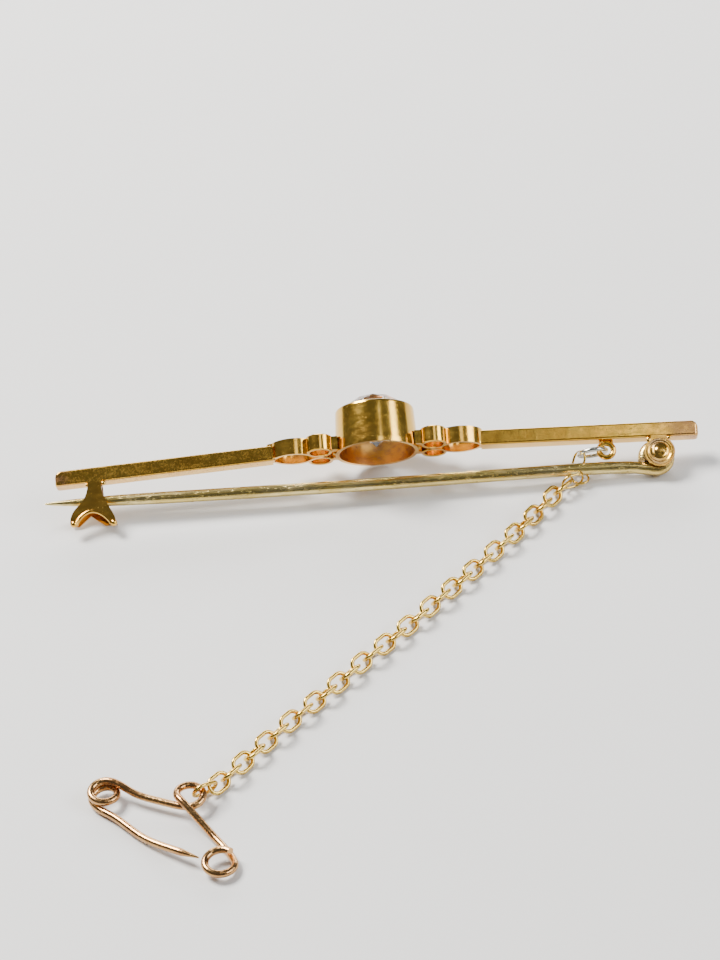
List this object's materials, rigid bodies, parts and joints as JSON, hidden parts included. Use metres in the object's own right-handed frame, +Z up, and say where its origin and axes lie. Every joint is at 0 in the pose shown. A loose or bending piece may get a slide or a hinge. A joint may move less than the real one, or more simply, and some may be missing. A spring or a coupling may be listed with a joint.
{
  "type": "bar brooch with safety chain and safety pin",
  "caption": "Slim gold bar brooch with a round stone in a collet between trefoil scrolls, a hinged pin, a fork catch and a fine safety chain with a small safety pin.",
  "frame": {"origin": "centre of the bounding box in plan, on the table it lies on", "axes": "+X along the bar from the catch to the hinge, +Y away from the chain, +Z up"},
  "size_m": [0.0512, 0.0476, 0.0071],
  "materials": {
    "frame_gold": "worn polished",
    "clear_stone": "polished facets",
    "rivet_gold": "worn",
    "pin_gold": "worn polished",
    "ring_silver": "polished",
    "chain_gold": "polished",
    "safety_gold": "worn"
  },
  "bodies": {
    "brooch": {"brooch_frame": "frame_gold", "stone": "clear_stone", "hinge_rivet": "rivet_gold", "jump_ring": "ring_silver", "chain_lead": "chain_gold", "safety_chain": "chain_gold", "safety_pin": "safety_gold"},
    "pin": {"pin_stem": "pin_gold"}
  },
  "joints": [
    {"name": "pin_hinge", "type": "hinge", "parent": "brooch", "child": "pin", "pos_m": [0.02213, 0.01749, 0.00119], "axis": [0.0112, -0.5708, 0.821], "range_deg": [0, 100], "deforming": ["chain_lead"]}
  ]
}
